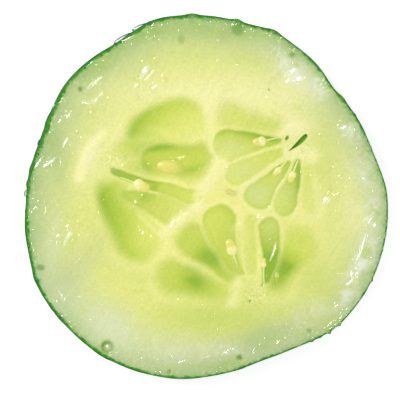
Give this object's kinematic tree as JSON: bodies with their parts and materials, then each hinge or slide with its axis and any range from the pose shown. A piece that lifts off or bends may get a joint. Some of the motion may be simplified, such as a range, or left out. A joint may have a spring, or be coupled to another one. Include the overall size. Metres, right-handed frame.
{
  "type": "cucumber slice",
  "caption": "Round slice cut across a fresh cucumber, with thin green skin, pale wet flesh, a lobed core and young seeds in gel.",
  "frame": {"origin": "middle of the lower cut face's bounding rectangle, on that face, which the slice rests on", "axes": "+Z through the slice's thickness, out of the upper cut face; +X and +Y across the slice"},
  "size_m": [0.048, 0.048, 0.0054],
  "materials": {
    "flesh": "wet cut flesh, translucent",
    "seed": "soft young seed coat",
    "skin": "waxy skin",
    "juice": "clear juice and water"
  },
  "bodies": {
    "root": {"slice": "flesh", "seed_left_large": "seed", "seed_left_flat": "seed", "seed_right_large": "seed", "seed_right_slim": "seed", "seed_right_mid": "seed", "seed_lower_large": "seed", "seed_lower_slim": "seed", "seed_lower_small": "seed"}
  },
  "joints": []
}
